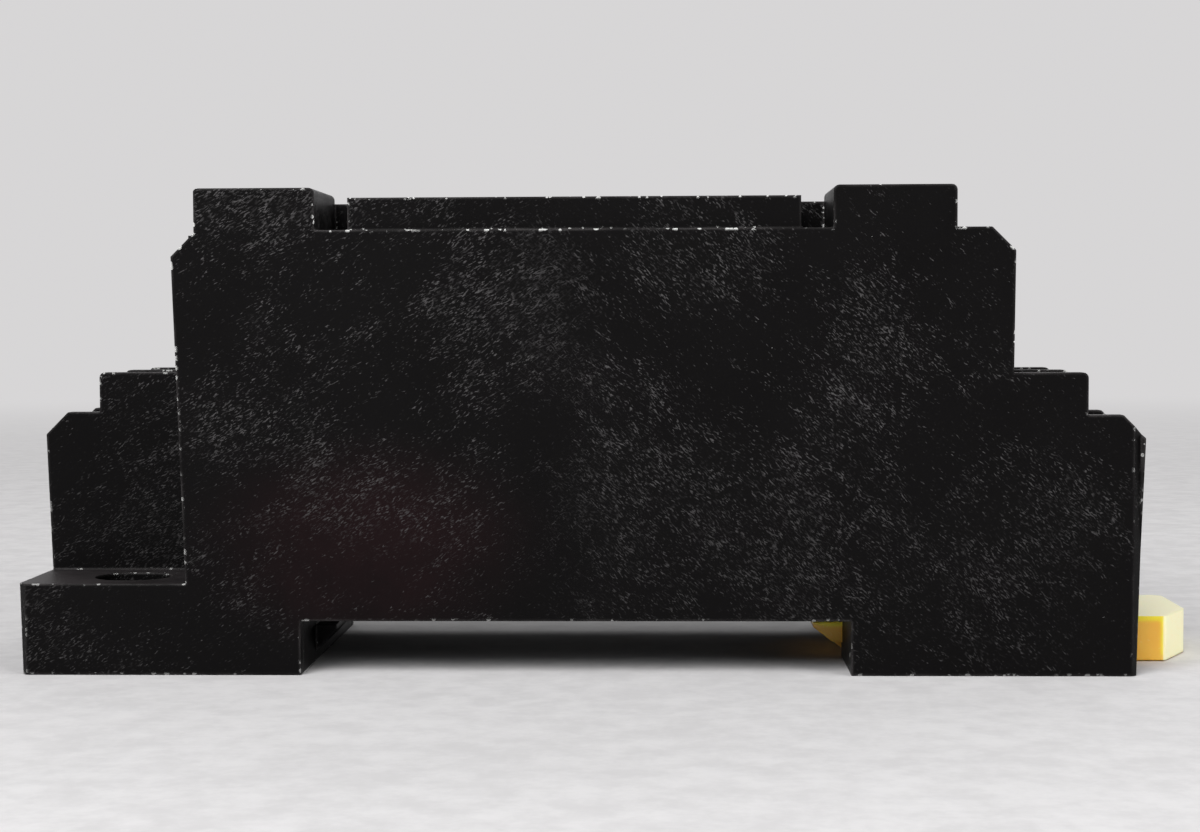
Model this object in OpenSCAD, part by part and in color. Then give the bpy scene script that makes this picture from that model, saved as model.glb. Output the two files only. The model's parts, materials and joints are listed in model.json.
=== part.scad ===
// Eight-blade relay socket for a 35 mm rail. A moulded housing carries two tiers of screw
// terminals at each end and eight blade slots in the middle. A base cover closes it below,
// with the fixed rail hook and the channel of the sprung rail latch.
// Millimetres, +Z up, +X along the socket towards the latch. The origin is the middle of
// the rail seat, which is the ceiling of the rail slot. Heights named _h are above the base.

/* [Body] */
// Length over the end walls at their widest
body_l = 72.7; // [71.5:0.1:75]
// Width over the side faces
body_w = 23; // [23:0.1:25]
// Height of the side walls beside the relay seat
side_h = 28.6; // [28.2:0.1:30]
// Height of the relay seat's face
seat_h = 30.7; // [30.2:0.1:32]
// Length of the relay seat
seat_l = 29.1; // [28.6:0.1:29.8]
// Width of the bridge that joins the relay seat to each upper tier
bridge_w = 5.7; // [4:0.1:8]
// Step of the relay seat behind each side face
seat_step = 1; // [0.6:0.1:1.5]
// Thickness of the outer walls and of the ribs between terminals
wall = 1; // [0.8:0.05:1.1]
// Lean of the end walls, in degrees
end_draft = 1.8; // [0:0.1:3]
// Rounding of the outline's corners
corner_r = 0.35; // [0.1:0.05:0.6]
// Chamfer of the upright corners
corner_c = 0.55; // [0.3:0.05:0.9]

/* [Terminal tiers] */
// Height of the upper tier's barriers
barrier_h = 31.3; // [31:0.1:33]
// Drop from the upper tier to the lower one
tier_drop = 11.95; // [10:0.05:12.5]
// Step outwards from the upper tier to the lower one
tier_step = 8.3; // [8.1:0.05:8.8]
// Distance from the middle to the face of the upper tier that looks at the seat
tier_in = 16.55; // [16.4:0.05:17]
// Length of a barrier's high part, measured on the upper tier
high_l = 7.8; // [7.5:0.1:8.2]
// Length of a barrier's low part
low_l = 2.2; // [1:0.05:2.4]
// Height that a barrier drops from its high part to its low part
low_drop = 2.7; // [1.5:0.1:3]
// Chamfer at a barrier's outer end
end_c = 1.5; // [0.8:0.05:1.8]
// Width of a terminal pocket
pocket_w = 6; // [5.9:0.05:6.2]
// Height from a clamping plate's face to its barrier's top
plate_depth = 3.55; // [3.3:0.05:4.2]
// Raised stretch of the inner wall, from the side face, at the fixed-hook end
raised_left = 8.6; // [6:0.1:12]
// Raised stretch of the inner wall, from the side face, at the latch end
raised_right = 8.6; // [6:0.1:12]
// Depth of the clip grooves at the seat's corners
clip_groove = 2.2; // [1:0.1:3]
// Length of a hole for the hold-down clip's leg, across the socket
clip_hole_l = 3.2; // [2:0.1:4]
// Width of a hole for the clip's leg
clip_hole_w = 1.1; // [0.8:0.05:1.5]
// Depth of a hole for the clip's leg below its groove
clip_hole_depth = 6; // [3:0.5:10]

/* [Fixing notches] */
// Depth of a notch from the side face
notch_w = 8; // [7.6:0.1:8]
// Height of a notch's ledge
ledge_h = 5.9; // [5.4:0.1:8]
// Distance from the middle to a notch's upright wall at the top
notch_in = 25.8; // [25.6:0.1:26.2]
// Distance of a fixing hole from the middle, along the socket
hole_x = 29.5; // [29.2:0.1:31]
// Distance of a fixing hole from the middle, across the socket
hole_y = 7.5; // [7.4:0.05:7.7]
// Width of a fixing hole
hole_w = 4.2; // [3.6:0.1:4.4]
// Length of a fixing hole
hole_l = 5; // [4.6:0.1:5.4]

/* [Rail slot and latch] */
// Length of the rail slot, for a rail 35 mm wide
slot_l = 35.4; // [35.2:0.1:35.8]
// Depth of the rail slot
slot_h = 3.5; // [3.2:0.05:3.8]
// Gap between the slot's ceiling and the hook's flat, for the rail's flange
flange_gap = 1.1; // [0.9:0.05:1.3]
// Reach of the fixed hook into the slot
hook_reach = 1.4; // [0.8:0.05:1.8]
// Width of the fixed hook
hook_w = 11; // [6:0.5:14]
// Reach of the latch's nose into the slot
nose_reach = 1.95; // [1:0.05:2.2]
// Width of the latch's slide
slide_w = 8; // [7:0.1:8.2]
// Thickness of the latch
latch_t = 2.95; // [2.8:0.05:3.2]
// Width of the latch's tab
tab_w = 10.9; // [9.5:0.1:12]
// Reach of the tab beyond the end wall
tab_l = 5; // [3.5:0.1:6]
// Cut of the tab's front corner, along the socket
tab_cut_x = 2.1; // [0.5:0.1:3]
// Cut of the tab's front corner, across the socket
tab_cut_y = 3.8; // [1:0.1:5]
// Travel of the latch, which sets the room of its spring
latch_travel = 2.5; // [1.5:0.1:2.6]
// Clearance of the latch in its channel
latch_gap = 0.15; // [0.1:0.05:0.25]

/* [Latch spring] */
// Wire of the latch spring
spring_wire = 0.4; // [0.3:0.05:0.45]
// Outer diameter of the latch spring
spring_d = 2.5; // [2.2:0.1:2.7]
// Turns of the latch spring
spring_turns = 8; // [5:1:10]
// Length left in the spring before its turns close, with the latch pulled right out
spring_reserve = 3.5; // [2.5:0.1:4]

/* [Contacts] */
// Rows of blade slots along the socket, from the middle
blade_rows = [-8.2, -1.85, 2.85, 6.95];
// Distance between the two columns of blades
blade_cols = 13.15; // [12.9:0.05:13.4]
// Length of a blade slot
blade_slot_l = 3; // [2.8:0.1:3.2]
// Width of a blade slot
blade_slot_w = 1.1; // [0.8:0.1:1.4]
// Thickness of the contact strip
strip_t = 0.8; // [0.6:0.05:0.9]
// Width of a clamping plate
plate_w = 5.6; // [5.2:0.1:5.7]
// Width of a strip's run and contact
run_w = 3.2; // [2.6:0.1:3.3]
// Slit in a fork contact
fork_slit = 0.5; // [0.4:0.05:0.7]
// Depth of the slit
fork_depth = 6.5; // [5:0.1:8]
// Bend radius on a strip's centre line
bend_r = 0.8; // [0.6:0.05:1]

/* [Screws] */
// Distance from the middle to an upper screw, along the socket
screw_x = 21.5; // [21.4:0.05:21.6]
// Thread diameter
screw_d = 3; // [2.9:0.05:3.1]
// Length under the head
screw_l = 8; // [7:0.5:9]
// Head diameter
head_d = 5.4; // [5:0.1:5.5]
// Head height
head_h = 2.1; // [1.8:0.1:2.4]
// Side of a clamp washer
washer_w = 5.4; // [5:0.1:5.5]
// Diameter of a clamp washer over its rounded corners, as a multiple of its side
washer_round = 1.28; // [1.2:0.01:1.4]
// Thickness of a clamp washer
washer_t = 0.8; // [0.6:0.05:1]
// Running clearance of a screw in its thread and washer
screw_gap = 0.06; // [0.04:0.01:0.1]
// Length of a recess across the head
recess_l = 3.2; // [2.6:0.1:3.6]
// Width of a recess
recess_w = 0.8; // [0.5:0.05:1]
// Depth of a recess
recess_depth = 1.2; // [0.8:0.1:1.5]

/* [Hidden] */
$fn = 48;
eps = 0.01;
big = 100;
half_l = body_l / 2;
half_w = body_w / 2;
join = 1; // overlap of solids that are joined
low_tier_h = barrier_h - tier_drop;
tier_out = tier_in + high_l;
barrier_out = tier_out + low_l;
lean = tan(end_draft);

// Terminal pockets: the wall towards the seat, and the shafts below their plates
inner_wall = 1.3;
shaft_set = 0.3;
shaft_rib = 0.9;
upper_shaft_cut = 0.4;
pocket_in = tier_in + inner_wall;
lower_face = pocket_in + tier_step + shaft_set;
pocket_y = half_w - wall - pocket_w / 2;
pocket_pitch = pocket_w + wall;
upper_plate_h = barrier_h - plate_depth;

// The base cover fills the housing from below, up to its own plate
cover_t = 1.7;
cover_gap = 0.1;
cover_top = slot_h + cover_t;
end_wall = 2.05;
cover_l = half_l - end_wall;
cover_w = half_w - wall - 2 * cover_gap;
boss_wall = 1.1;
boss_x = notch_in - boss_wall;
channel_w = slide_w / 2 + latch_gap;
boss_y = channel_w;

// Posts under the clamping plates
rest_w = 1;
rest_l = 4;

// Hollows in the foot at the hook's end, with a rib between them
core_set = 2.5;
core_in = slot_l / 2 + core_set;
core_rib = 1.3;
core_end = 2.8;
core_l = (cover_l - core_in - core_rib - core_end) / 2;
core_wall = 1.2;
core_mid = 0.6;
short_core_l = 3.5;

// Corner that is open over a fixing ledge: lean of its upright wall, and its top's chamfer
notch_lean = 0.7;
notch_c = 1.5;
notch_drop = 0.15;

// Place of the end corners' chamfers, small roundings, and the lean of the wall between tiers
corner_set = 0.25;
edge_r = 0.15;
end_lean = 0.1;

// Reach of the clip grooves past the middle of the upper terminals
groove_reach = 2;

// Two levels of strips run under the seat
run_rise = 0.8;
run_step = 4;
top_t = 2.4;
cell_room = 0.3;
cell_end = 0.1;
arm_land = 1.2;
low_run = cover_top + run_rise;
high_run = low_run + run_step;
contact_top = seat_h - top_t;
cell_l = blade_slot_l + 2 * cell_end;
cell_w = run_w + 2 * cell_room;
run_room = 0.2;
arm_room = 0.4;
shaft_l = high_l - shaft_rib;
riser_set = 0.7;
inner_run_y = 1.8;
inner_narrow = 1;
plate_short = 0.1;
fork_flare = 0.8;
arm_w = bend_r + strip_t + arm_land;

// Latch, its channel and lips, and the spring's window with the post that the spring pushes on
latch_low = 0.05;
lip_h = 1;
lip_w = 0.7;
lip_gap = 0.05;
channel_room = 0.2;
channel_h = latch_low + latch_t + channel_room;
nose_lip = 0.35;
nose_root = 0.6;
tab_gap = 0.25;
tab_r = 0.8;
post_x = 30;
post_l = 1.2;
post_gap = 0.3;
spring_room = spring_turns * spring_wire + latch_travel + spring_reserve;
window_in = post_x - spring_room;
spring_side = 0.4;
window_w = spring_d + 2 * spring_side;
post_end = 0.2;
window_out = post_x + post_l + post_end;
spring_mid_h = latch_low + latch_t / 2;
spring_gap = 0.02;

// Rounding of a screw head's rim, across and down
head_round = 0.6;
head_crown = 0.9;

// One row for each terminal: end (-1 or 1), tier (0 upper, 1 lower), place of its screw
// across the socket in pockets from the side wall, side (-1 or 1), and row of its blade
TERMINALS = [
    [-1, 0, 0, -1, 0],
    [-1, 0, 0, 1, 0],
    [1, 0, 0, -1, 3],
    [1, 0, 0, 1, 3],
    [-1, 1, 0, 1, 1],
    [-1, 1, 1, 1, 2],
    [1, 1, 0, -1, 2],
    [1, 1, 1, -1, 1]
];
function end_of(i) = TERMINALS[i][0];
function tier_of(i) = TERMINALS[i][1];
function side_of(i) = TERMINALS[i][3];
function inner_of(i) = TERMINALS[i][2] == 1;
function screw_u(i) = screw_x + tier_of(i) * tier_step;
function screw_y(i) = side_of(i) * (pocket_y - TERMINALS[i][2] * pocket_pitch);
function plate_h(i) = upper_plate_h - tier_of(i) * tier_drop;
function blade_x(i) = blade_rows[TERMINALS[i][4]];
function blade_y(i) = side_of(i) * blade_cols / 2;
function run_y(i) = inner_of(i) ? side_of(i) * inner_run_y : blade_y(i);
function run_width(i) = inner_of(i) ? run_w - inner_narrow : run_w;
function riser_u(i) = pocket_in + tier_of(i) * tier_step + riser_set;
function run_h(i) = tier_of(i) == 0 ? high_run : low_run;

// ---- Outlines ----

// Corner i of a path, rounded to radius r: points along the arc between its two edges
function turn(p, i) = let (
        n = len(p),
        a = p[(i + n - 1) % n],
        b = p[i],
        c = p[(i + 1) % n]
    ) [a - b, c - b];
function unit(v) = v / norm(v);
function arc_points(corner, ray_a, ray_b, r, steps) = let (
        a = unit(ray_a),
        b = unit(ray_b),
        half = acos(a * b) / 2,
        run = r / tan(half),
        mid = corner + unit(a + b) * r / sin(half),
        from = corner + a * run - mid,
        to = corner + b * run - mid,
        side = sign(from[0] * to[1] - from[1] * to[0]),
        sweep = 180 - 2 * half
    ) [for (k = [0:steps]) let (t = side * sweep * k / steps)
        mid + [from[0] * cos(t) - from[1] * sin(t), from[0] * sin(t) + from[1] * cos(t)]];

// A closed outline with the radius of each corner as its third value
function rounded(path) = let (p = [for (q = path) [q[0], q[1]]])
    [for (i = [0:len(p) - 1]) let (rays = turn(p, i))
        each (path[i][2] > 0 ? arc_points(p[i], rays[0], rays[1], path[i][2], 4) : [p[i]])];

// The outline of a strip of thickness t along an open path bent to radius r
function band(path, r, t) = let (
        n = len(path),
        edge = function (s) [for (i = [0:n - 1])
            let (
                a = unit(i == 0 ? path[1] - path[0] : path[i] - path[i - 1]),
                b = unit(i == n - 1 ? path[i] - path[i - 1] : path[i + 1] - path[i]),
                bend = sign(a[0] * b[1] - a[1] * b[0]),
                na = [-a[1], a[0]],
                nb = [-b[1], b[0]]
            )
            each (bend == 0 ? [path[i] + na * s * t / 2]
                : arc_points(path[i] + (na + nb) * s * t / 2, -a, b, r - bend * s * t / 2, 4))]
    ) concat(edge(1), reverse(edge(-1)));
function reverse(p) = [for (i = [len(p) - 1:-1:0]) p[i]];

// ---- Helpers ----

// Sets a height above the base into the frame of the rail seat
module on_base() translate([0, 0, -slot_h]) children();

// Draws its children for the latch end and, turned half round, for the other end
module both_ends() {
    children();
    rotate([0, 0, 180]) children();
}

// Extrudes an outline in X and Z across the socket, from y0 to y1
module across(outline, y0, y1)
    translate([0, y1, 0]) rotate([90, 0, 0]) linear_extrude(y1 - y0) polygon(outline);

module block(x0, x1, y0, y1, z0, z1)
    translate([min(x0, x1), min(y0, y1), z0]) cube([abs(x1 - x0), abs(y1 - y0), z1 - z0]);

// ---- Housing ----

// Half of the side outline, from the middle of the base to the middle of the top
function half_outline() = let (
        top = barrier_h,
        low_top = low_tier_h,
        end_top = low_top - low_drop
    ) [
        [half_l - lean * end_top, 0, 0],
        [half_l, end_top - end_c, edge_r],
        [barrier_out + tier_step, end_top, edge_r],
        [tier_out + tier_step, end_top, 0],
        [tier_out + tier_step, low_top, corner_r],
        [barrier_out + end_c - end_lean, low_top, 0],
        [barrier_out + end_c, top - low_drop - end_c, edge_r],
        [barrier_out, top - low_drop, edge_r],
        [tier_out, top - low_drop, 0],
        [tier_out, top, corner_r],
        [tier_in, top, corner_r],
        [tier_in, side_h, 0]
    ];
function side_outline() = let (h = half_outline())
    rounded(concat(h, [for (p = reverse(h)) [-p[0], p[1], p[2]]]));

// The corner that is left open above a fixing ledge, with the upper tier cut short
function notch_outline() = let (top = barrier_h - low_drop) [
        [big, ledge_h],
        [notch_in - notch_lean, ledge_h],
        [notch_in, top - notch_c - notch_drop],
        [notch_in - notch_c, top - notch_drop],
        [notch_in - notch_c, big],
        [big, big]
    ];

module housing_solid() {
    across(side_outline(), -half_w, half_w);
    block(-seat_l / 2, seat_l / 2, -half_w + seat_step, half_w - seat_step, side_h - join, seat_h);
    block(-tier_in - join, tier_in + join, -bridge_w / 2, bridge_w / 2, side_h - join, seat_h);
}

// The ledge's slotted hole for a fixing screw
module fixing_hole() translate([hole_x, hole_y, -eps]) {
    shift = (hole_l - hole_w) / 2;
    for (s = [-1, 1]) translate([s * shift, 0, 0]) cylinder(d = hole_w, h = ledge_h + 1);
    block(-shift, shift, -hole_w / 2, hole_w / 2, 0, ledge_h + 1);
}

// What one end of the housing loses: its notch, terminal pockets and hollows
module end_hollows() {
    low_floor = upper_plate_h - tier_drop - strip_t;
    high_floor = upper_plate_h - strip_t;
    // notch over the ledge, and the room above the inner lower terminal
    across(notch_outline(), half_w - notch_w, big);
    block(lower_face, big, -pocket_y + pocket_w / 2 + wall, big, low_tier_h, big);
    fixing_hole();
    // lower pockets, open to the end
    for (k = [0, 1]) translate([0, -pocket_y + k * pocket_pitch, 0]) {
        block(lower_face, big, -pocket_w / 2, pocket_w / 2, low_floor, big);
        block(lower_face, lower_face + shaft_l, -pocket_w / 2, pocket_w / 2,
            cover_top - eps, low_floor + eps);
    }
    // upper pockets, open to the end above the lower ones
    for (s = [-1, 1]) translate([0, s * pocket_y, 0]) {
        block(pocket_in, big, -pocket_w / 2, pocket_w / 2, high_floor, big);
        block(pocket_in + shaft_set, pocket_in + shaft_set + shaft_l - upper_shaft_cut,
            -pocket_w / 2, pocket_w / 2, cover_top - eps, high_floor + eps);
    }
    // recess in the block between the upper terminals
    block(pocket_in, big, -half_w + 2 * wall + pocket_w, half_w - 2 * wall - pocket_w,
        side_h, big);
    // groove on each side of the bridge, with a hole for a leg of the hold-down clip
    for (s = [-1, 1]) {
        block(seat_l / 2, tier_in, s * bridge_w / 2, s * (pocket_y + groove_reach),
            side_h - clip_groove, side_h + eps);
        translate([(seat_l / 2 + tier_in) / 2, s * pocket_y, 0])
            block(-clip_hole_w / 2, clip_hole_w / 2, -clip_hole_l / 2, clip_hole_l / 2,
                side_h - clip_groove - clip_hole_depth, side_h);
    }
}

// Cells for the fork contacts, and the trenches that the strips run along
module contact_hollows() {
    for (i = [0:7]) {
        x = blade_x(i);
        y = blade_y(i);
        block(x - cell_l / 2, x + cell_l / 2, y - cell_w / 2, y + cell_w / 2,
            cover_top - eps, contact_top + cell_room);
        block(x - blade_slot_l / 2, x + blade_slot_l / 2, y - blade_slot_w / 2,
            y + blade_slot_w / 2, contact_top, seat_h + 1);
        // run under the tiers, from the contact's cell to the riser
        e = end_of(i);
        u = riser_u(i);
        block(x, e * (u + shaft_set), run_y(i) - cell_w / 2, run_y(i) + cell_w / 2,
            cover_top - eps, run_h(i) + strip_t + run_room);
        // riser, up to its plate
        side = run_width(i) / 2 + cell_room;
        block(e * (u - strip_t / 2), e * (u + bend_r), run_y(i) - side, run_y(i) + side,
            cover_top - eps, plate_h(i) - strip_t + eps);
    }
    // arms of the two inner strips cross to the blade columns
    for (i = [5, 7])
        block(blade_x(i) - end_of(i), blade_x(i) + end_of(i) * (arm_w + arm_room),
            run_y(i) - side_of(i) * cell_w / 2, blade_y(i) + side_of(i) * cell_w / 2,
            cover_top - eps, low_run + strip_t + run_room);
}

// Footprint of the base cover, grown by g on every side
module cover_plan(g) difference() {
    square([2 * (cover_l + g), 2 * (cover_w + g)], center = true);
    both_ends() translate([boss_x + g, boss_y + g]) square(big);
}

module upright_corner(x, y, top)
    translate([x, y, -join]) linear_extrude(top + 2 * join)
        rotate(45) square(corner_c * sqrt(2), center = true);

module housing() color("#1d1b1b") on_base() {
    difference() {
        housing_solid();
        both_ends() end_hollows();
        // an inner wall is low beyond its raised stretch, up to the far side barrier
        block(-pocket_in - eps, -seat_l / 2, -half_w + raised_left, half_w - wall, seat_h, big);
        block(seat_l / 2, pocket_in + eps, -half_w + raised_right, half_w - wall, seat_h, big);
        contact_hollows();
        translate([0, 0, -eps]) linear_extrude(cover_top + eps) cover_plan(cover_gap);
        block(-slot_l / 2, slot_l / 2, -big, big, -1, slot_h);
        // window for the latch in the end wall
        block(cover_l, big, -channel_w, channel_w, -1, channel_h);
        both_ends() for (s = [-1, 1])
            upright_corner(half_l - corner_set, s * half_w, low_tier_h);
    }
}

// ---- Base cover ----

// Posts beside the wells hold the clamping plates up from below
module plate_rests() for (i = [0:7]) {
    far = screw_y(i) + side_of(i) * (inner_of(i) ? -plate_w / 2 : plate_w / 2);
    near = far - side_of(i) * (inner_of(i) ? -rest_w : rest_w);
    block(end_of(i) * (screw_u(i) - rest_l / 2), end_of(i) * (screw_u(i) + rest_l / 2),
        near, far, cover_top - eps, plate_h(i) - strip_t);
}

module base_cover() color("#242222") on_base() {
    difference() {
        linear_extrude(cover_top) cover_plan(0);
        block(-slot_l / 2, slot_l / 2, -big, big, -1, slot_h);
        // channel of the latch, with a lip along the inner part of each lower edge
        block(slot_l / 2 - join, big, -channel_w, channel_w, lip_h - 2 * lip_gap, channel_h);
        block(slot_l / 2 - join, big, -slide_w / 2 + lip_w, slide_w / 2 - lip_w, -1, lip_h);
        block(boss_x, big, -channel_w, channel_w, -1, lip_h);
        // hollows of the foot at the hook's end
        for (u = [core_in, core_in + core_l + core_rib])
            block(-u - core_l, -u, core_mid, cover_w - core_wall, -1, slot_h);
        block(-core_in - short_core_l, -core_in, -cover_w + core_wall, -core_mid, -1, slot_h);
    }
    // fixed hook, with its lead-in below
    hook_root = -slot_l / 2 - join / 2;
    hook_tip = -slot_l / 2 + hook_reach;
    flat_h = slot_h - flange_gap;
    across([
        [hook_root, flat_h],
        [hook_tip, flat_h],
        [hook_tip, flat_h - nose_lip],
        [hook_root, flat_h - nose_lip - hook_reach - join / 2]
    ], -hook_w / 2, hook_w / 2);
    // spring post
    block(post_x, post_x + post_l, -window_w / 2 + post_gap, window_w / 2 - post_gap,
        latch_low + post_gap, slot_h);
    plate_rests();
}

// ---- Rail latch ----

module rail_latch() color("#f59a23") on_base() difference() {
    nose_x = slot_l / 2 - nose_reach;
    tab_in = half_l - lean * (low_tier_h - low_drop) + tab_gap;
    tab_out = tab_in + tab_l;
    nose_h = slot_h - flange_gap;
    latch_top = latch_low + latch_t;
    union() {
        // slide with the nose at its inner end
        across([
            [tab_in + join, latch_low],
            [slot_l / 2 + nose_root, latch_low],
            [nose_x, nose_h - nose_lip],
            [nose_x, nose_h],
            [slot_l / 2 + nose_root / 3, nose_h],
            [slot_l / 2 + nose_root, latch_top],
            [tab_in + join, latch_top]
        ], -slide_w / 2, slide_w / 2);
        translate([0, 0, latch_low]) linear_extrude(latch_t) polygon(rounded([
            [tab_in, -tab_w / 2, 0],
            [tab_out - tab_cut_x, -tab_w / 2, tab_r / 2],
            [tab_out, -tab_w / 2 + tab_cut_y, tab_r / 2],
            [tab_out, tab_w / 2, tab_r],
            [tab_in, tab_w / 2, 0]
        ]));
    }
    // window of the spring
    block(window_in, window_out, -window_w / 2, window_w / 2, -1, slot_h + 1);
    // rebates that run on the channel's lips
    for (s = [-1, 1]) block(nose_x - join, tab_in - tab_gap, s * (slide_w / 2 - lip_w - latch_gap),
        s * big, -1, lip_h + lip_gap);
}

// ---- Latch spring ----

module latch_spring() color("#b9bcc0") on_base() {
    r = (spring_d - spring_wire) / 2;
    start = window_in + spring_wire / 2 + spring_gap;
    length = spring_room - spring_wire - 2 * spring_gap;
    around = 14;
    sides = 6;
    rings = around * spring_turns;
    points = [for (k = [0:rings], j = [0:sides - 1]) let (
            a = 360 * k / around,
            b = 360 * j / sides,
            d = r + spring_wire / 2 * cos(b)
        ) [start + length * k / rings + spring_wire / 2 * sin(b), d * cos(a), d * sin(a)]];
    faces = concat(
        [[for (j = [0:sides - 1]) j]],
        [[for (j = [sides - 1:-1:0]) rings * sides + j]],
        [for (k = [0:rings - 1], j = [0:sides - 1]) let (m = (j + 1) % sides)
            [k * sides + j, (k + 1) * sides + j, (k + 1) * sides + m, k * sides + m]]
    );
    translate([0, 0, spring_mid_h]) polyhedron(points, faces, convexity = 8);
}

// ---- Terminals ----

// Strip i: clamping plate, riser, run under the seat and fork contact, bent from one sheet
module terminal_strip(i) color("#c9b25f") on_base() {
    e = end_of(i);
    in_u = riser_u(i);
    out_u = screw_u(i) + plate_w / 2 - plate_short;
    mid_h = plate_h(i) - strip_t / 2;
    blade_u = e * blade_x(i);
    path = [
        [out_u, mid_h], [in_u, mid_h], [in_u, run_h(i)],
        [blade_u, run_h(i)], [blade_u, contact_top]
    ];
    side = e > 0 ? 0 : 180;
    outline = band(path, bend_r, strip_t);
    narrow = run_width(i);
    difference() {
        intersection() {
            rotate([0, 0, side]) across(outline, -big / 4, big / 4);
            union() {
                // plate and riser
                block(e * (in_u - 2 * strip_t), e * big, screw_y(i) - plate_w / 2,
                    screw_y(i) + plate_w / 2, plate_h(i) - bend_r - 2 * strip_t, big);
                // riser, and the run towards the blades
                block(e * (in_u - 2 * strip_t), e * big, run_y(i) - narrow / 2,
                    run_y(i) + narrow / 2, 0, plate_h(i) - bend_r - strip_t);
                block(e * (blade_u - join), e * in_u, run_y(i) - narrow / 2,
                    run_y(i) + narrow / 2, 0, run_h(i) + strip_t / 2 + eps);
                // arm and contact
                block(e * (blade_u + arm_w), e * (blade_u - join), run_y(i),
                    blade_y(i) + side_of(i) * run_w / 2, 0, run_h(i) + strip_t / 2 + eps);
                block(e * (blade_u + arm_w), e * (blade_u - join), blade_y(i) - run_w / 2,
                    blade_y(i) + run_w / 2, 0, big);
            }
        }
        translate([e * screw_u(i), screw_y(i), mid_h])
            cylinder(d = screw_d, h = 3 * strip_t, center = true);
        // slit of the fork, flared at its mouth
        translate([blade_x(i) - strip_t, blade_y(i), contact_top]) rotate([90, 0, 90])
            linear_extrude(2 * strip_t) polygon([
                [-fork_slit / 2, -fork_depth], [fork_slit / 2, -fork_depth],
                [fork_slit / 2, -fork_flare], [fork_flare, eps],
                [-fork_flare, eps], [-fork_slit / 2, -fork_flare]
            ]);
    }
}

module at_screw(i)
    on_base() translate([end_of(i) * screw_u(i), screw_y(i), plate_h(i)]) children();

// Washer i: square, with its corners rounded
module clamp_washer(i) color("#cfcfca") at_screw(i) difference() {
    intersection() {
        block(-washer_w / 2, washer_w / 2, -washer_w / 2, washer_w / 2, 0, washer_t);
        cylinder(d = washer_w * washer_round, h = washer_t);
    }
    translate([0, 0, -1]) cylinder(d = screw_d + 2 * screw_gap, h = washer_t + 2);
}

// Screw i: pan head with a cross and slot recess, captive in its washer
module terminal_screw(i) color("#d4d4cf") at_screw(i) {
    difference() {
        screw_head();
        translate([0, 0, washer_t + head_h - recess_depth]) for (a = [0, 90]) rotate([0, 0, a])
            block(-recess_l / 2, recess_l / 2, -recess_w / 2, recess_w / 2, 0, head_h);
    }
    translate([0, 0, washer_t - screw_l])
        cylinder(d = screw_d - 2 * screw_gap, h = screw_l + head_h / 4);
}
module screw_head()
    rotate_extrude() polygon(concat(
        [[0, washer_t], [head_d / 2, washer_t]],
        [for (a = [0:15:90]) [
            head_d / 2 - head_round * (1 - cos(a)),
            washer_t + head_h - head_crown * (1 - sin(a))
        ]],
        [[0, washer_t + head_h]]
    ));

housing();
base_cover();
rail_latch();
latch_spring();
for (i = [0:7]) terminal_strip(i);
for (i = [0:7]) clamp_washer(i);
for (i = [0:7]) terminal_screw(i);
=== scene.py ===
import json
import math

import bmesh
import bpy
from mathutils import Matrix, Vector


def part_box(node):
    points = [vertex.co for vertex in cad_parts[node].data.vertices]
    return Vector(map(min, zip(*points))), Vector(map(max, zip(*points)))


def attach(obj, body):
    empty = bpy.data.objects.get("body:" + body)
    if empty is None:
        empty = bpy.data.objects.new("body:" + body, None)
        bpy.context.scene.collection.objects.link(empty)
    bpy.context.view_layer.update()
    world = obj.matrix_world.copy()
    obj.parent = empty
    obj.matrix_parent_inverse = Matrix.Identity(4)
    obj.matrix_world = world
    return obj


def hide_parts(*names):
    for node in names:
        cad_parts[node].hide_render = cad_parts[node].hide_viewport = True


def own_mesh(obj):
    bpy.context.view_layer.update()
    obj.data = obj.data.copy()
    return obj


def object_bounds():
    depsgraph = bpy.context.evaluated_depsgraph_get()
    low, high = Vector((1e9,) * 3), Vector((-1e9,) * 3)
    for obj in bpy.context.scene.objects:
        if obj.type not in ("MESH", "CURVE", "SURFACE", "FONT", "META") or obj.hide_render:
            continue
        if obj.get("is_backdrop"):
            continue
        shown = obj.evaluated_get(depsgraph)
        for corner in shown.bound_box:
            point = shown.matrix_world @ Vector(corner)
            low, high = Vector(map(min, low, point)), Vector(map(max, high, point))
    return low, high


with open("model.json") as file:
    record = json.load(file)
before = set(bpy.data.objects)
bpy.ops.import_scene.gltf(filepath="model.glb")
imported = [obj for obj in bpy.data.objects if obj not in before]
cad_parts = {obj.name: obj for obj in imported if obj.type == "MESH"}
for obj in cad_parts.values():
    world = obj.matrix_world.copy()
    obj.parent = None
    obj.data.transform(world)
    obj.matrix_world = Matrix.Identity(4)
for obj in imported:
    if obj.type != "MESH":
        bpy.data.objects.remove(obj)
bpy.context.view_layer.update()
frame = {"nodes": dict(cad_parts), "record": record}


nodes = frame["nodes"]
terminals = range(1, 9)
print("frame loaded:", len(nodes), "nodes")


def clearNodes(owner):
    owner.use_nodes = True
    tree = owner.node_tree
    tree.nodes.clear()
    return tree


def put(tree, kind, values=None, **settings):
    # a new node, with its settings and the values or links of its inputs
    node = tree.nodes.new(kind)
    for name, value in settings.items():
        setattr(node, name, value)
    for name, value in (values or {}).items():
        plug(tree, value, node.inputs[name])
    return node


def plug(tree, value, socket):
    if isinstance(value, bpy.types.NodeSocket):
        tree.links.new(value, socket)
    else:
        socket.default_value = value


def math2(tree, operation, a, b=0.0, clamp=False):
    node = put(tree, "ShaderNodeMath", {0: a, 1: b}, operation=operation, use_clamp=clamp)
    return node.outputs[0]


def vectorMath(tree, operation, values, output="Vector"):
    return put(tree, "ShaderNodeVectorMath", values, operation=operation).outputs[output]


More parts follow.
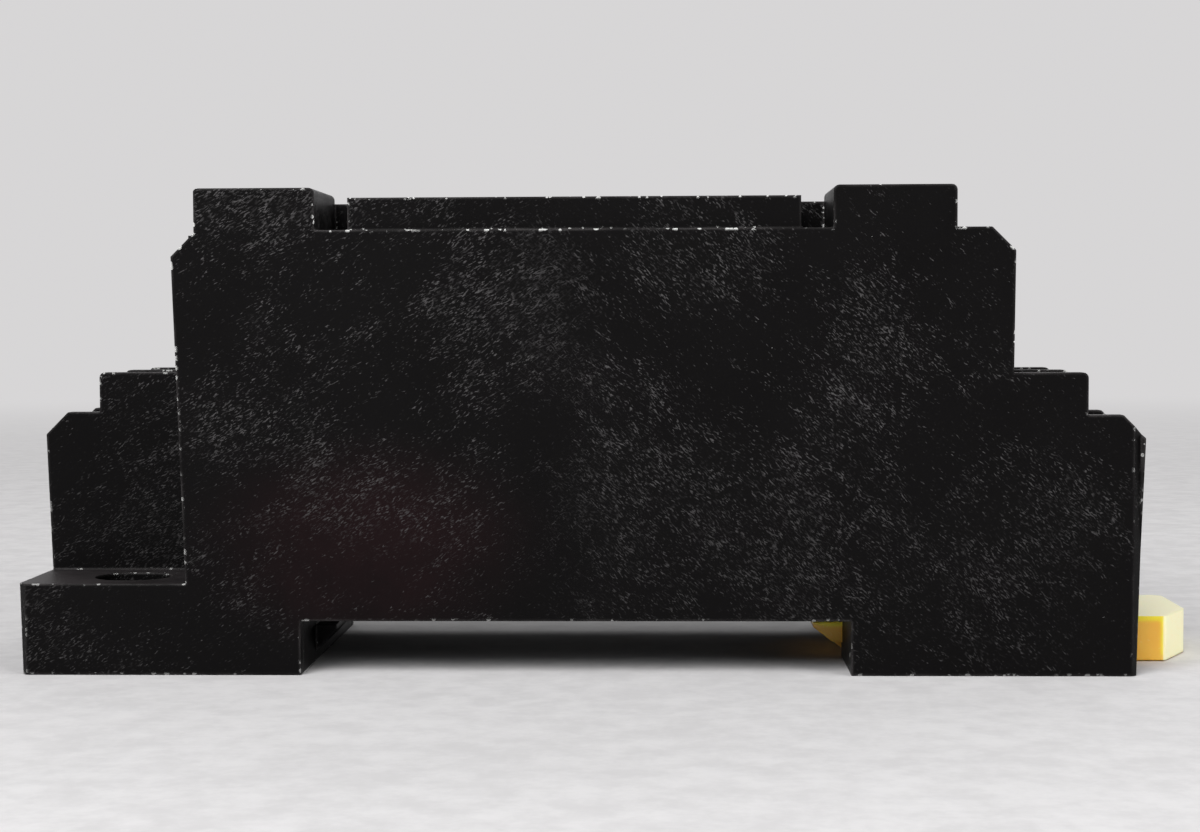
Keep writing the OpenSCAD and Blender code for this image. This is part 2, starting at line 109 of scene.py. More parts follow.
def remap(tree, value, fromMin, fromMax, toMin=0.0, toMax=1.0):
    node = put(tree, "ShaderNodeMapRange", {
        "Value": value, "From Min": fromMin, "From Max": fromMax,
        "To Min": toMin, "To Max": toMax}, interpolation_type="SMOOTHSTEP")
    return node.outputs["Result"]


noiseSpan = (0.3, 0.7)      # most of a noise's values lie between these


def noise(tree, vector, scale, detail, roughness=0.5):
    return put(tree, "ShaderNodeTexNoise", {
        "Vector": vector, "Scale": scale, "Detail": detail, "Roughness": roughness}).outputs["Fac"]


def mixColor(tree, factor, a, b):
    node = tree.nodes.new("ShaderNodeMix")
    node.data_type = "RGBA"
    plug(tree, factor, node.inputs[0])
    plug(tree, a, node.inputs[6])
    plug(tree, b, node.inputs[7])
    return node.outputs[2]


def newGroup(name, inputs, outputs):
    group = bpy.data.node_groups.new(name, "ShaderNodeTree")
    kinds = {"v": "NodeSocketVector", "f": "NodeSocketFloat"}
    for label, kind, default in inputs:
        socket = group.interface.new_socket(label, in_out="INPUT", socket_type=kinds[kind])
        if default is not None:
            socket.default_value = default
    for label, kind in outputs:
        group.interface.new_socket(label, in_out="OUTPUT", socket_type=kinds[kind])
    return group, group.nodes.new("NodeGroupInput"), group.nodes.new("NodeGroupOutput")


def useGroup(tree, group, values):
    node = tree.nodes.new("ShaderNodeGroup")
    node.node_tree = group
    for name, value in values.items():
        plug(tree, value, node.inputs[name])
    return node


def objectCoords(tree):
    return put(tree, "ShaderNodeTexCoord").outputs["Object"]


def facingWay(tree):
    # which way the face itself looks, before any rounding
    return put(tree, "ShaderNodeNewGeometry").outputs["True Normal"]


# a noise is given as scale, detail and roughness, and a change of range as the two old
# ends and the two new ones, which are 0 and 1 where they are left out
scuffShape = {
    "fibre": (1.0, 1.0, 0.4),
    "streak": (1.0, 4.0, 0.6),
    "area": (95.0, 2.0),                    # larger areas with more and with fewer flecks
    "stretch": 3.0,                         # a streak is longer than wide by this much
    "gather": (0.4, 0.6, -0.12, 0.045),     # what streaks and areas add to the fibres
    "hardness": 9.0,
}


def makeScuffs(shape):
    # short thin flecks that lie along one direction and gather in patches
    group, into, out = newGroup("fineScuffs", [
        ("Vector", "v", None), ("Angle", "f", 0.6), ("Across", "f", 7000.0),
        ("Along", "f", 3300.0), ("Cut", "f", 0.62), ("Patches", "f", 230.0)],
        [("Mask", "f")])
    turned = put(group, "ShaderNodeVectorRotate", {
        "Vector": into.outputs["Vector"], "Angle": into.outputs["Angle"]}, rotation_type="Y_AXIS")
    parts = put(group, "ShaderNodeSeparateXYZ", {0: turned.outputs[0]})

    def stretched(along, across):
        return put(group, "ShaderNodeCombineXYZ", {
            "X": math2(group, "MULTIPLY", parts.outputs[0], along),
            "Y": math2(group, "MULTIPLY", parts.outputs[1], across),
            "Z": math2(group, "MULTIPLY", parts.outputs[2], across)}).outputs[0]

    patches = into.outputs["Patches"]
    narrow = math2(group, "MULTIPLY", patches, shape["stretch"])
    fine = stretched(into.outputs["Along"], into.outputs["Across"])
    fibre = noise(group, fine, *shape["fibre"])
    streak = noise(group, stretched(patches, narrow), *shape["streak"])
    area = noise(group, into.outputs["Vector"], *shape["area"])
    patch = math2(group, "ADD", math2(group, "MULTIPLY", streak, 0.5),
                  math2(group, "MULTIPLY", area, 0.5))
    level = math2(group, "ADD", fibre, remap(group, patch, *shape["gather"]))
    over = math2(group, "SUBTRACT", level, into.outputs["Cut"])
    mask = math2(group, "MULTIPLY", over, shape["hardness"], clamp=True)
    group.links.new(mask, out.inputs["Mask"])
    return group


def makeSpecks():
    # tiny bright grains, one in some of the cells of a fine pattern
    group, into, out = newGroup("fineSpecks", [
        ("Vector", "v", None), ("Scale", "f", 900.0), ("Size", "f", 0.1), ("Share", "f", 0.2)],
        [("Mask", "f")])
    cells = put(group, "ShaderNodeTexVoronoi", {
        "Vector": into.outputs["Vector"], "Scale": into.outputs["Scale"], "Randomness": 1.0})
    chance = put(group, "ShaderNodeSeparateColor", {0: cells.outputs["Color"]})
    size = math2(group, "MULTIPLY", into.outputs["Size"], chance.outputs[1])
    near = math2(group, "LESS_THAN", cells.outputs["Distance"], size)
    picked = math2(group, "LESS_THAN", chance.outputs[0], into.outputs["Share"])
    group.links.new(math2(group, "MULTIPLY", near, picked), out.inputs["Mask"])
    return group


edgeShape = {"rounding": 0.00022, "edgeBandWidth": 0.0003, "rays": 6}


def makeEdges(shape):
    # rounds every edge in the shading, and marks where an edge is
    group, into, out = newGroup("softEdges", [("Sharpness", "f", 3.0)],
                                [("Normal", "v"), ("Edge", "f")])
    rounded, wide = [
        put(group, "ShaderNodeBevel", {"Radius": shape[width]}, samples=shape["rays"]).outputs[0]
        for width in ("rounding", "edgeBandWidth")]
    along = vectorMath(group, "DOT_PRODUCT", {0: wide, 1: facingWay(group)}, "Value")
    bent = math2(group, "SUBTRACT", 1.0, along)
    group.links.new(rounded, out.inputs["Normal"])
    group.links.new(math2(group, "MULTIPLY", bent, into.outputs["Sharpness"], clamp=True),
                    out.inputs["Edge"])
    return group


scuffGroup = makeScuffs(scuffShape)
speckGroup = makeSpecks()
edgeGroup = makeEdges(edgeShape)


def shade(tree, color, roughness, normal, **plain):
    # the finish's own shader; plain values go straight on its sockets
    shader = tree.nodes.new("ShaderNodeBsdfPrincipled")
    plug(tree, color, shader.inputs["Base Color"])
    plug(tree, roughness, shader.inputs["Roughness"])
    plug(tree, normal, shader.inputs["Normal"])
    for label, value in plain.items():
        shader.inputs[label.replace("_", " ")].default_value = value
    put(tree, "ShaderNodeOutputMaterial", {"Surface": shader.outputs[0]})


def cloudyRoughness(tree, cloud, setting):
    # roughness that wanders about the finish's own value
    smoother, rougher = setting["roughSpread"]
    return remap(tree, cloud, *noiseSpan, setting["roughness"] - smoother,
                 setting["roughness"] + rougher)


blackPlastic = {
    "color": (0.0024, 0.0021, 0.0022, 1),
    # the warm colour below is a painted reflection, not a colour of the plastic
    "warmReflectionColor": (0.0078, 0.0033, 0.0038, 1),
    # what faces up is lightened: partly a little dust, partly painted light from above
    "dustAndTopLightColor": (0.034, 0.03, 0.031, 1),
    # the edge colour lightens edges in places: partly wear, partly a painted highlight
    "edgeColor": (0.06, 0.056, 0.056, 1),
    "scuffColor": (0.07, 0.067, 0.068, 1),
    # near-white, for the scattered specks and for the painted glints on the edges
    "speckColor": (0.85, 0.85, 0.83, 1),
    "roughness": 0.4,
    "roughSpread": (0.04, 0.08),
    "scuffRoughness": 0.25,                 # what a fleck adds to the roughness
    "gloss": 0.065,
    "cloud": (120.0, 4.0, 0.6),
    "wearAndHighlightNoise": (330.0, 3.0, 0.6),
    "grain": (5000.0, 2.0),
    "grainShare": 0.35,                     # of the grain, against the flecks, in the relief
    "grainHeight": 0.00002,
    "bumpStrength": 0.3,
    "sharpness": 4.0,
    "edgeWearAndHighlight": (0.35, 0.65, 0.2, 0.9),
    # angle, cut and scale across of each layer of flecks
    "leftFlecks": ((0.68, 0.612, 9500.0), (0.45, 0.615, 11500.0)),
    "rightFlecks": ((-0.6, 0.612, 9500.0), (-0.85, 0.618, 11500.0)),
    "turnAt": (-0.006, 0.004),              # left flecks give way to right ones, along x
    "fleckRise": (0.004, 0.016, 0.6, 1.0),  # between two heights, and the strength at each
    "faintPlaces": (1500.0, 2.0, 0.6),
    "faintSpan": (0.35, 0.68),
    "faintest": 0.16,                       # strength of the flecks in their faint places
    "speck": {"Scale": 1900.0, "Size": 0.16, "Share": 0.03},
    # painted glints on the edges: their pattern, places, rise with height and strength
    "glint": {"Scale": 3400.0, "Size": 0.7, "Share": 0.4},
    "glintPlaces": (0.42, 0.5),
    "glintRise": (0.0135, 0.0215, 0.4, 1.0),
    "glintStrength": 1.6,
    # the warm patch is a painted reflection: where it sits, its reach, its fade and its mottling
    "warmReflectionAt": (-0.0135, -0.0115, 0.005),
    "warmReflectionSize": (75.0, 250.0, 125.0),       # one over the warm patch's reach each way
    "warmReflectionFade": (0.25, 1.0, 1.0, 0.0),
    "warmReflectionCloud": (0.3, 0.6, 0.45, 1.0),
    # upward faces get dust together with painted light from above
    "dustAndTopLightFacing": (0.6, 0.95),
    "dustAndTopLightThickness": (0.25, 0.75),
}


def fleckMarks(tree, coords, place, setting, scuffing):
    # crossed layers of flecks that lean one way on the left and the other on the right
    right = remap(tree, place.outputs[0], *setting["turnAt"])
    left = math2(tree, "SUBTRACT", 1.0, right)
    marks = None
    for side, layers in ((left, "leftFlecks"), (right, "rightFlecks")):
        for angle, cut, across in setting[layers]:
            layer = useGroup(tree, scuffGroup, {
                "Vector": coords, "Angle": angle, "Cut": cut, "Across": across}).outputs[0]
            layer = math2(tree, "MULTIPLY", layer, side)
            marks = layer if marks is None else math2(tree, "MAXIMUM", marks, layer)
    strength = remap(tree, noise(tree, coords, *setting["faintPlaces"]), *setting["faintSpan"],
                     setting["faintest"] * scuffing, scuffing)
    upper = remap(tree, place.outputs[2], *setting["fleckRise"])
    return math2(tree, "MULTIPLY", marks, math2(tree, "MULTIPLY", upper, strength))


def edgeSparkle(tree, coords, place, edge, wearAndHighlightNoise, setting):
    # painted glints on the edges, in places, the upper ones most, as light from above would give
    # them
    glints = useGroup(tree, speckGroup, {"Vector": coords, **setting["glint"]}).outputs[0]
    raised = remap(tree, place.outputs[2], *setting["glintRise"])
    rubbedAndGlinting = math2(tree, "MULTIPLY", remap(tree, wearAndHighlightNoise, *setting["glintPlaces"]), raised)
    return math2(tree, "MULTIPLY", math2(tree, "MULTIPLY", glints, edge, clamp=True),
                 math2(tree, "MULTIPLY", rubbedAndGlinting, setting["glintStrength"]), clamp=True)


def reflectionDustAndTopLight(tree, coords, cloud, setting):
    # a painted warm reflection low on one side, and on what faces up a little dust lightened as
    # painted light from above
    offset = vectorMath(tree, "SUBTRACT", {0: coords, 1: setting["warmReflectionAt"]})
    scaled = vectorMath(tree, "MULTIPLY", {0: offset, 1: setting["warmReflectionSize"]})
    away = vectorMath(tree, "LENGTH", {0: scaled}, "Value")
    warmReflection = math2(tree, "MULTIPLY", remap(tree, away, *setting["warmReflectionFade"]),
                 remap(tree, cloud, *setting["warmReflectionCloud"]))
    reflectionTinted = mixColor(tree, warmReflection, setting["color"], setting["warmReflectionColor"])
    # painted light from above, mixed with a little dust, on what faces up
    facing = put(tree, "ShaderNodeSeparateXYZ", {0: facingWay(tree)}).outputs[2]
    dustAndTopLight = math2(tree, "MULTIPLY", remap(tree, facing, *setting["dustAndTopLightFacing"]),
                 remap(tree, cloud, *noiseSpan, *setting["dustAndTopLightThickness"]))
    return mixColor(tree, dustAndTopLight, reflectionTinted, setting["dustAndTopLightColor"])


def makeBlackPlastic(name, setting, scuffing=1.0):
    material = bpy.data.materials.new(name)
    tree = clearNodes(material)
    coords = objectCoords(tree)
    place = put(tree, "ShaderNodeSeparateXYZ", {0: coords})
    edges = useGroup(tree, edgeGroup, {"Sharpness": setting["sharpness"]})
    edge = edges.outputs["Edge"]
    cloud = noise(tree, coords, *setting["cloud"])
    wearAndHighlightNoise = noise(tree, coords, *setting["wearAndHighlightNoise"])
    marks = fleckMarks(tree, coords, place, setting, scuffing)
    specks = useGroup(tree, speckGroup, {"Vector": coords, **setting["speck"]}).outputs[0]
    sparkle = edgeSparkle(tree, coords, place, edge, wearAndHighlightNoise, setting)
    base = reflectionDustAndTopLight(tree, coords, cloud, setting)
    # edges lightened in places: partly wear, partly a painted highlight along the edges
    wearAndHighlight = math2(tree, "MULTIPLY", edge, remap(tree, wearAndHighlightNoise, *setting["edgeWearAndHighlight"]))
    edged = mixColor(tree, wearAndHighlight, base, setting["edgeColor"])
    scuffed = mixColor(tree, marks, edged, setting["scuffColor"])
    # near-white for the scattered specks and for the painted glints on the edges
    color = mixColor(tree, math2(tree, "MAXIMUM", specks, sparkle), scuffed, setting["speckColor"])
    roughness = math2(tree, "ADD", cloudyRoughness(tree, cloud, setting),
                      math2(tree, "MULTIPLY", marks, setting["scuffRoughness"]))
    grain = noise(tree, coords, *setting["grain"])
    height = math2(tree, "ADD", math2(tree, "MULTIPLY", grain, setting["grainShare"]), marks)
    bump = put(tree, "ShaderNodeBump", {
        "Strength": setting["bumpStrength"], "Distance": setting["grainHeight"],
        "Height": height, "Normal": edges.outputs["Normal"]})
    shade(tree, color, roughness, bump.outputs[0], Specular_IOR_Level=setting["gloss"])
    return material


latchPlastic = {
    "color": (1.0, 0.57, 0.075, 1),
    "deepColor": (0.97, 0.5, 0.06, 1),
    # the edge colour and the pale colour are painted light, laid on what turns towards lightFrom
    "edgeColor": (1.0, 0.8, 0.035, 1),
    "paleColor": (1.0, 0.95, 0.6, 1),
    "scuffColor": (1.0, 0.8, 0.35, 1),
    "lightFrom": (0.6, 0.0, 0.8),
    "glowWidth": 0.0007,
    "glowRays": 8,
    "glowSpan": (0.01, 0.16),
    "paleSpan": (0.02, 0.3),
    "roughness": 0.38,
    "roughSpread": (0.05, 0.1),
    "cloud": (220.0, 4.0, 0.55),
    "mottle": (0.35, 0.75),
    "scuffs": {"Angle": 0.3, "Cut": 0.62, "Across": 6000.0},
    "scuffShare": 0.25,
    "grain": (4000.0, 2.0),
    "grainHeight": 0.00002,
    "bumpStrength": 0.2,
    "sharpness": 3.0,
    "clearness": 0.15,          # share of the light that goes into the plastic, and how far
    "depth": 0.0008,
}


def makeLatchPlastic(name, setting):
    material = bpy.data.materials.new(name)
    tree = clearNodes(material)
    coords = objectCoords(tree)
    edges = useGroup(tree, edgeGroup, {"Sharpness": setting["sharpness"]})
    cloud = noise(tree, coords, *setting["cloud"])
    mottle = remap(tree, cloud, *setting["mottle"])
    base = mixColor(tree, mottle, setting["color"], setting["deepColor"])
    # painted light: the edges turned towards lightFrom are painted yellower and the lit sides
    # paler; the plastic also lets some light through (the subsurface below)
    flat = put(tree, "ShaderNodeNewGeometry").outputs["Normal"]
    wide = put(tree, "ShaderNodeBevel", {"Radius": setting["glowWidth"]},
               samples=setting["glowRays"]).outputs[0]
    toLight, nearLight = [
        vectorMath(tree, "DOT_PRODUCT", {0: normal, 1: setting["lightFrom"]}, "Value")
        for normal in (flat, wide)]
    glow = remap(tree, nearLight, *setting["glowSpan"])
    paintedEdgeGlow = mixColor(tree, glow, base, setting["edgeColor"])
    paintedLitSides = mixColor(tree, remap(tree, toLight, *setting["paleSpan"]), paintedEdgeGlow,
                    setting["paleColor"])
    scuffs = useGroup(tree, scuffGroup, {"Vector": coords, **setting["scuffs"]}).outputs[0]
    color = mixColor(tree, math2(tree, "MULTIPLY", scuffs, setting["scuffShare"]), paintedLitSides,
                     setting["scuffColor"])
    bump = put(tree, "ShaderNodeBump", {
        "Strength": setting["bumpStrength"], "Distance": setting["grainHeight"],
        "Height": noise(tree, coords, *setting["grain"]), "Normal": edges.outputs["Normal"]})
    shade(tree, color, cloudyRoughness(tree, cloud, setting), bump.outputs[0],
          Subsurface_Weight=setting["clearness"], Subsurface_Scale=setting["depth"])
    return material


metalWear = {
    "edgeColor": (0.9, 0.89, 0.86, 1),
    "edgeShare": 0.4,
    "roughSpread": (0.06, 0.12),
    "cloud": (700.0, 5.0, 0.6),
    "stain": (0.4, 0.75),
    "lines": {"Across": 9000.0, "Along": 700.0, "Cut": 0.56},
    "lineRoughness": 0.18,
    "lineHeight": 0.00001,
    "bumpStrength": 0.25,
    "sharpness": 2.5,
}
platedSteel = {
    **metalWear, "color": (0.62, 0.61, 0.58, 1), "dark": (0.38, 0.37, 0.35, 1), "roughness": 0.26}
stripBrass = {
    **metalWear, "color": (0.78, 0.66, 0.38, 1), "dark": (0.55, 0.43, 0.22, 1), "roughness": 0.3}
springWire = {
    **metalWear, "color": (0.5, 0.5, 0.51, 1), "dark": (0.3, 0.3, 0.31, 1), "roughness": 0.24}


def makeMetal(name, setting, lineAngle=0.0):
    # stained metal with fine lines in one direction
    material = bpy.data.materials.new(name)
    tree = clearNodes(material)
    coords = objectCoords(tree)
    edges = useGroup(tree, edgeGroup, {"Sharpness": setting["sharpness"]})
    cloud = noise(tree, coords, *setting["cloud"])
    lines = useGroup(tree, scuffGroup, {
        "Vector": coords, "Angle": lineAngle, **setting["lines"]}).outputs[0]
    stain = remap(tree, cloud, *setting["stain"])
    stained = mixColor(tree, stain, setting["color"], setting["dark"])
    rubbedAndGlinting = math2(tree, "MULTIPLY", edges.outputs["Edge"], setting["edgeShare"])
    color = mixColor(tree, rubbedAndGlinting, stained, setting["edgeColor"])
    roughness = math2(tree, "ADD", cloudyRoughness(tree, cloud, setting),
                      math2(tree, "MULTIPLY", lines, setting["lineRoughness"]))
    bump = put(tree, "ShaderNodeBump", {
        "Strength": setting["bumpStrength"], "Distance": setting["lineHeight"],
        "Height": lines, "Normal": edges.outputs["Normal"]})
    shade(tree, color, roughness, bump.outputs[0], Metallic=1.0)
    return material


finishes = {
    "housing_plastic": makeBlackPlastic("housingPlastic", blackPlastic),
    "cover_plastic": makeBlackPlastic("coverPlastic", blackPlastic, 0.5),
    "latch_plastic": makeLatchPlastic("latchPlastic", latchPlastic),
    "spring_steel": makeMetal("springSteel", springWire),
    "contact_brass": makeMetal("contactBrass", stripBrass, 1.2),
    "washer_steel": makeMetal("washerSteel", platedSteel, 0.8),
    "screw_steel": makeMetal("screwSteel", platedSteel, 0.2),
}


def dressNodes():
    for entry in frame["record"]["subparts"]:
        mesh = nodes[entry["node"]].data
        mesh.materials.clear()
        mesh.materials.append(finishes[entry["material_slot"]])


dressNodes()
print("materials on", len(nodes), "CAD nodes")


samePoint = 1e-7        # points closer than this are one


def meshFrom(bm, name):
    # a mesh of its own; the bmesh is used up
    mesh = bpy.data.meshes.new(name)
    bm.to_mesh(mesh)
    bm.free()
    return mesh


def addToScene(name, data):
    thing = bpy.data.objects.new(name, data)
    bpy.context.scene.collection.objects.link(thing)
    return thing


def shapedMesh(thing):
    # a new mesh with the object's modifiers or curve settings worked in
    bpy.context.view_layer.update()
    return bpy.data.meshes.new_from_object(
        thing.evaluated_get(bpy.context.evaluated_depsgraph_get()))


def meshPiece(name, bm, slot, body, replaced):
    bmesh.ops.recalc_face_normals(bm, faces=bm.faces)
    piece = addToScene(name, meshFrom(bm, name))
    piece.data.materials.append(finishes[slot])
    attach(piece, body)
    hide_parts(replaced)
    return piece


def smoothFaces(piece):
    for polygon in piece.data.polygons:
        polygon.use_smooth = True


screwShape = {
    "crownShare": 0.55,         # the flat on top, as a share of the head's radius
    "crownDrop": 0.00012,
    "headEdge": 0.00045,        # rounding of the head's upper edge
    "edgeDrop": 0.0005,
    "sideDrop": 0.0009,
    "bevel": 0.0001,
    "shankRadius": 0.00144,
    "neckStep": 0.0002,         # the plain neck narrows by this much
    "neckLength": 0.0012,
    "segments": 48,
    "recessDepth": 0.0011,
    "crossWidth": 0.00075,
    "crossLength": 0.0032,
    "crossTaper": (0.55, 0.8, 1),
    "pitch": 0.0005,
    "threadDepth": 0.00031,
    "threadTop": 0.0009,        # from the washer down to the first turn
    "threadEnd": 0.0006,        # left plain at the tip, at least
    "threadSteps": 24,
    "threadCrest": (0.42, 0.55),    # where the crest begins and ends in one turn
    "turnEnd": 0.97,
    "turnWeld": 0.05,           # turns closer than this share of the pitch are joined
    "sharpAngle": 32,
}


def buildScrew(low, high, cx, cy, washerTop, shape):
    # head and plain neck, turned about the screw's axis
    head, shank, bevel = (high.x - low.x) / 2, shape["shankRadius"], shape["bevel"]
    bm = bmesh.new()
    profile = [
        (0, high.z), (head * shape["crownShare"], high.z),
        (head - shape["headEdge"], high.z - shape["crownDrop"]),
        (head - bevel, high.z - shape["edgeDrop"]), (head, high.z - shape["sideDrop"]),
        (head, washerTop + bevel), (head - bevel, washerTop),
        (shank, washerTop), (shank - shape["neckStep"], washerTop - shape["neckLength"]),
    ]
    verts = [bm.verts.new((x, 0, z)) for x, z in profile]
    edges = [bm.edges.new(pair) for pair in zip(verts, verts[1:])]
    bmesh.ops.spin(bm, geom=verts + edges, cent=(0, 0, 0), axis=(0, 0, 1), dvec=(0, 0, 0),
                   angle=math.tau, steps=shape["segments"], use_merge=True)
    bmesh.ops.remove_doubles(bm, verts=bm.verts, dist=samePoint)
    bmesh.ops.translate(bm, verts=bm.verts, vec=(cx, cy, 0))
    return bm


def addThread(bm, top, bottom, cx, cy, shape):
    # one turn of the thread's profile, carried down the shank as a helix
    pitch, steps, crest = shape["pitch"], shape["threadSteps"], shape["shankRadius"]
    root = crest - shape["threadDepth"]
    turns = int((top - bottom - shape["threadEnd"]) / pitch)
    crestStart, crestEnd = shape["threadCrest"]
    outline = [(root, 0), (crest, pitch * crestStart), (crest, pitch * crestEnd),
               (root, pitch * shape["turnEnd"])]
    thread = bmesh.new()
    verts = [thread.verts.new((x, 0, top - z)) for x, z in outline]
    edges = [thread.edges.new(pair) for pair in zip(verts, verts[1:])]
    bmesh.ops.spin(thread, geom=verts + edges, cent=(0, 0, 0), axis=(0, 0, 1),
                   dvec=(0, 0, -pitch / steps), angle=math.tau * turns,
                   steps=steps * turns, use_merge=False)
    bmesh.ops.remove_doubles(thread, verts=thread.verts, dist=pitch * shape["turnWeld"])
    bmesh.ops.holes_fill(thread, edges=thread.edges, sides=0)
    bmesh.ops.translate(thread, verts=thread.verts, vec=(cx, cy, 0))
    scratch = meshFrom(thread, "threadScratch")
    bm.from_mesh(scratch)
    bpy.data.meshes.remove(scratch)


def cutRecess(piece, cx, cy, top, shape):
    # two crossed slots, narrower at their floor, are cut out of the head
    for angle in (0, math.pi / 2):
        bm = bmesh.new()
        bmesh.ops.create_cube(bm, size=1)
        bmesh.ops.scale(bm, verts=bm.verts, vec=(
            shape["crossLength"], shape["crossWidth"], shape["recessDepth"] * 2))
        lowFace = [v for v in bm.verts if v.co.z < 0]
        bmesh.ops.scale(bm, verts=lowFace, vec=shape["crossTaper"])
        bmesh.ops.rotate(bm, verts=bm.verts, cent=(0, 0, 0), matrix=Matrix.Rotation(angle, 3, "Z"))
        bmesh.ops.translate(bm, verts=bm.verts, vec=(cx, cy, top))
        cutter = addToScene("recessCutter", meshFrom(bm, "recessCutter"))
        boolean = piece.modifiers.new("recess", "BOOLEAN")
        boolean.operation = "DIFFERENCE"
        boolean.solver = "EXACT"
        boolean.object = cutter
        solid = shapedMesh(piece)
        piece.modifiers.clear()
        spent = (piece.data, cutter.data)
        piece.data = solid
        bpy.data.objects.remove(cutter)
        for mesh in spent:
            bpy.data.meshes.remove(mesh)


def makeTerminals(shape):
    for i in terminals:
        node = f"terminal_screw_{i}"
        low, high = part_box(node)
        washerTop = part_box(f"clamp_washer_{i}")[1].z
        cx, cy = (low.x + high.x) / 2, (low.y + high.y) / 2
        bm = buildScrew(low, high, cx, cy, washerTop, shape)
        addThread(bm, washerTop - shape["threadTop"], low.z, cx, cy, shape)
        bmesh.ops.holes_fill(bm, edges=bm.edges, sides=0)
        piece = meshPiece(f"capScrew{i}", bm, "screw_steel", f"screw_{i}", node)
        cutRecess(piece, cx, cy, high.z, shape)
        smoothFaces(piece)
        piece.data.set_sharp_from_angle(angle=math.radians(shape["sharpAngle"]))


makeTerminals(screwShape)
print("terminal screws made")


springShape = {
    "turns": 8,
    "closed": 1.25,         # turns that lie close together at each end
    "wire": 0.0004,
    "ringSteps": 36,
    "wireSmoothness": 3,
}


def coilPoints(low, high, cy, cz, shape):
    # points along the wire's middle, with closed turns at both ends
    radius = (high.y - low.y - shape["wire"]) / 2
    start, end = low.x + shape["wire"] / 2, high.x - shape["wire"] / 2
    closedShare = shape["closed"] / shape["turns"]
    rise = shape["wire"] * shape["closed"] / (end - start)
    count = shape["turns"] * shape["ringSteps"]
    for k in range(count + 1):
        t = k / count
        if t < closedShare:
            along = rise * t / closedShare
        elif t > 1 - closedShare:
            along = 1 - rise * (1 - t) / closedShare
        else:
            along = rise + (1 - 2 * rise) * (t - closedShare) / (1 - 2 * closedShare)
        angle = math.tau * shape["turns"] * t
        yield (start + (end - start) * along, cy + radius * math.cos(angle),
               cz + radius * math.sin(angle), 1)


def makeSpring(shape):
    # the wire's round section, swept along the coil
    low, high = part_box("latch_spring")
    cy, cz = (low.y + high.y) / 2, (low.z + high.z) / 2
    curve = bpy.data.curves.new("latchCoil", "CURVE")
    curve.dimensions = "3D"
    curve.bevel_depth = shape["wire"] / 2
    curve.bevel_resolution = shape["wireSmoothness"]
    curve.use_fill_caps = True
    path = list(coilPoints(low, high, cy, cz, shape))
    spline = curve.splines.new("POLY")
    spline.points.add(len(path) - 1)
    for point, place in zip(spline.points, path):
        point.co = place
    holder = addToScene("latchCoilCurve", curve)
    mesh = shapedMesh(holder)
    bpy.data.objects.remove(holder)
    bpy.data.curves.remove(curve)
    bm = bmesh.new()
    bm.from_mesh(mesh)
    bpy.data.meshes.remove(mesh)
    bmesh.ops.remove_doubles(bm, verts=bm.verts, dist=samePoint)
    piece = meshPiece("latchCoil", bm, "spring_steel", "socket", "latch_spring")
    smoothFaces(piece)
    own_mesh(piece)


makeSpring(springShape)
print("latch spring made")


studio = {
    "floorColor": (0.6, 0.59, 0.595, 1),
    "grainColor": (0.68, 0.67, 0.675, 1),
    "backColor": (0.68, 0.67, 0.675, 1),
    "grain": (420.0, 6.0, 0.65),
    "around": 0.26,         # strength of the light from all sides
    "fadeFrom": 0.1,
    "fadeTo": 0.5,
    "floorSize": 3.0,
    "floorGap": 0.00002,
}


def seenDirectly(tree):
    # rays that look straight at the surroundings, in a mirror or through something clear
    rays = put(tree, "ShaderNodeLightPath").outputs
    looking = math2(tree, "MAXIMUM", rays["Is Camera Ray"], rays["Is Glossy Ray"])
    return math2(tree, "MAXIMUM", looking, rays["Is Transmission Ray"])


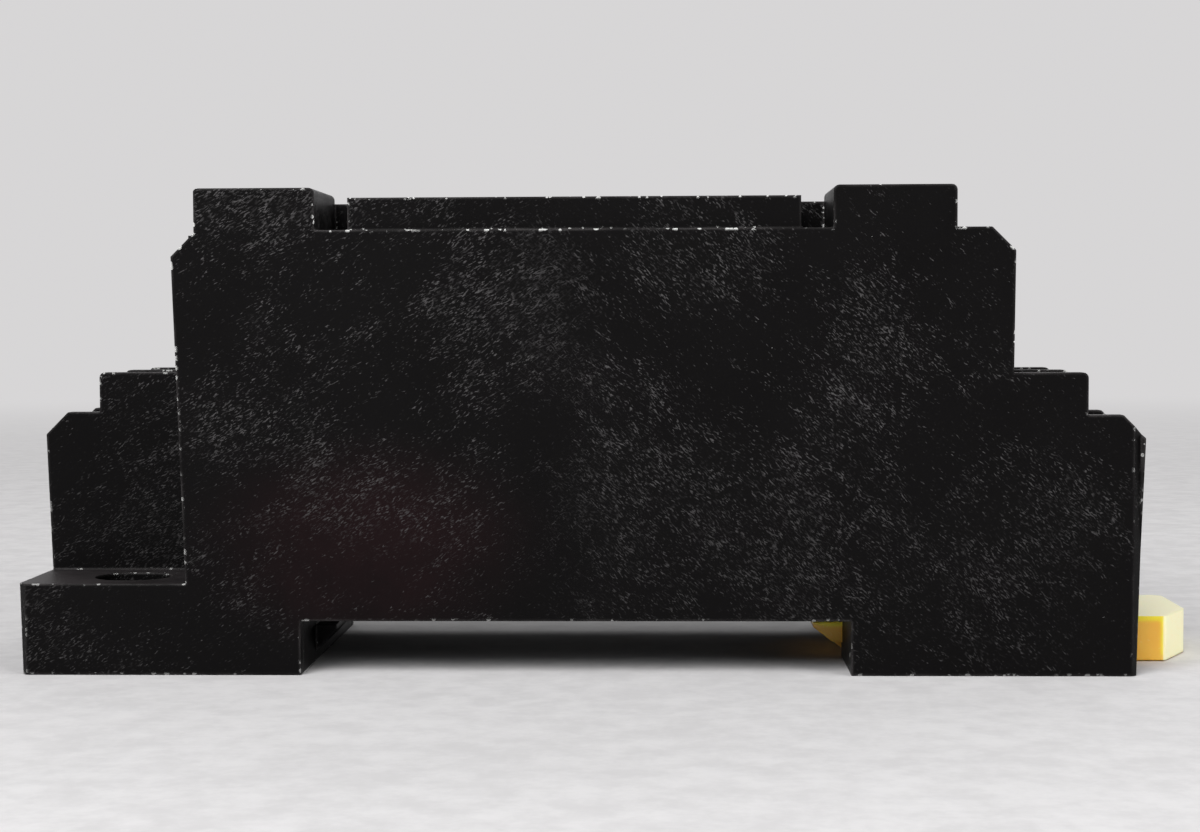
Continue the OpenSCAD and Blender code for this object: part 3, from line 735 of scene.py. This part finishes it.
def makeFloor(shape):
    # a flat sheet that goes over into the background colour away from the object
    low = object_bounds()[0]
    bm = bmesh.new()
    bmesh.ops.create_grid(bm, x_segments=1, y_segments=1, size=shape["floorSize"] / 2)
    bmesh.ops.translate(bm, verts=bm.verts, vec=(0, 0, low[2] - shape["floorGap"]))
    floor = addToScene("floor", meshFrom(bm, "floor"))
    material = bpy.data.materials.new("floorPaper")
    tree = clearNodes(material)
    coords = objectCoords(tree)
    grain = remap(tree, noise(tree, coords, *shape["grain"]), *noiseSpan)
    color = mixColor(tree, grain, shape["floorColor"], shape["grainColor"])
    paper = put(tree, "ShaderNodeBsdfDiffuse", {"Color": color})
    away = vectorMath(tree, "LENGTH", {0: coords}, "Value")
    fade = remap(tree, away, shape["fadeFrom"], shape["fadeTo"])
    plain = put(tree, "ShaderNodeEmission", {"Color": shape["backColor"], "Strength": 1.0})
    mixed = put(tree, "ShaderNodeMixShader", {
        0: math2(tree, "MULTIPLY", fade, seenDirectly(tree)), 1: paper.outputs[0],
        2: plain.outputs[0]})
    put(tree, "ShaderNodeOutputMaterial", {"Surface": mixed.outputs[0]})
    floor.data.materials.append(material)
    floor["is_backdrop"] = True


def makeWorld(shape):
    world = bpy.data.worlds.new("studio")
    bpy.context.scene.world = world
    tree = clearNodes(world)
    around = put(tree, "ShaderNodeBackground", {"Color": (1, 1, 1, 1), "Strength": shape["around"]})
    behind = put(tree, "ShaderNodeBackground", {"Color": shape["backColor"], "Strength": 1.0})
    mixed = put(tree, "ShaderNodeMixShader", {
        0: seenDirectly(tree), 1: around.outputs[0], 2: behind.outputs[0]})
    put(tree, "ShaderNodeOutputWorld", {"Surface": mixed.outputs[0]})


lamps = {
    "keyLamp": {
        "place": (-0.16, -0.3, 0.3), "target": (0, 0, 0.01), "size": (0.3, 0.3), "power": 2.0},
    "fillLamp": {
        "place": (0.3, -0.2, 0.2), "target": (0, 0, 0.01), "size": (0.25, 0.25), "power": 0.8},
    "backLamp": {
        "place": (0.05, 0.35, 0.3), "target": (0, 0, 0.015), "size": (0.5, 0.15), "power": 0.55},
}


def addLamp(name, setting):
    lamp = bpy.data.lights.new(name, "AREA")
    lamp.shape = "RECTANGLE"
    lamp.size, lamp.size_y = setting["size"]
    lamp.energy = setting["power"]
    holder = addToScene(name, lamp)
    holder.location = setting["place"]
    aim = Vector(setting["target"]) - Vector(setting["place"])
    holder.rotation_euler = aim.to_track_quat("-Z", "Y").to_euler()


cameraShape = {
    "place": (0.00624, -0.14775, 0.01943),
    "pitch": -2.629,
    "yaw": 1.916,
    "roll": -0.235,
    "lens": 64.146,
    "sensor": 36,
    "nearest": 0.005,
}


def makeCamera(shape):
    camera = bpy.data.cameras.new("camera")
    camera.lens = shape["lens"]
    camera.sensor_width = shape["sensor"]
    camera.clip_start = shape["nearest"]
    holder = addToScene("camera", camera)
    turn = (Matrix.Rotation(math.radians(shape["yaw"]), 4, "Z")
            @ Matrix.Rotation(math.radians(90 + shape["pitch"]), 4, "X")
            @ Matrix.Rotation(math.radians(shape["roll"]), 4, "Z"))
    holder.matrix_world = Matrix.Translation(shape["place"]) @ turn
    bpy.context.scene.camera = holder


makeFloor(studio)
makeWorld(studio)
for lampName, lampSetting in lamps.items():
    addLamp(lampName, lampSetting)
makeCamera(cameraShape)
bpy.context.scene.view_settings.view_transform = "Standard"
print("floor, lamps and camera placed")
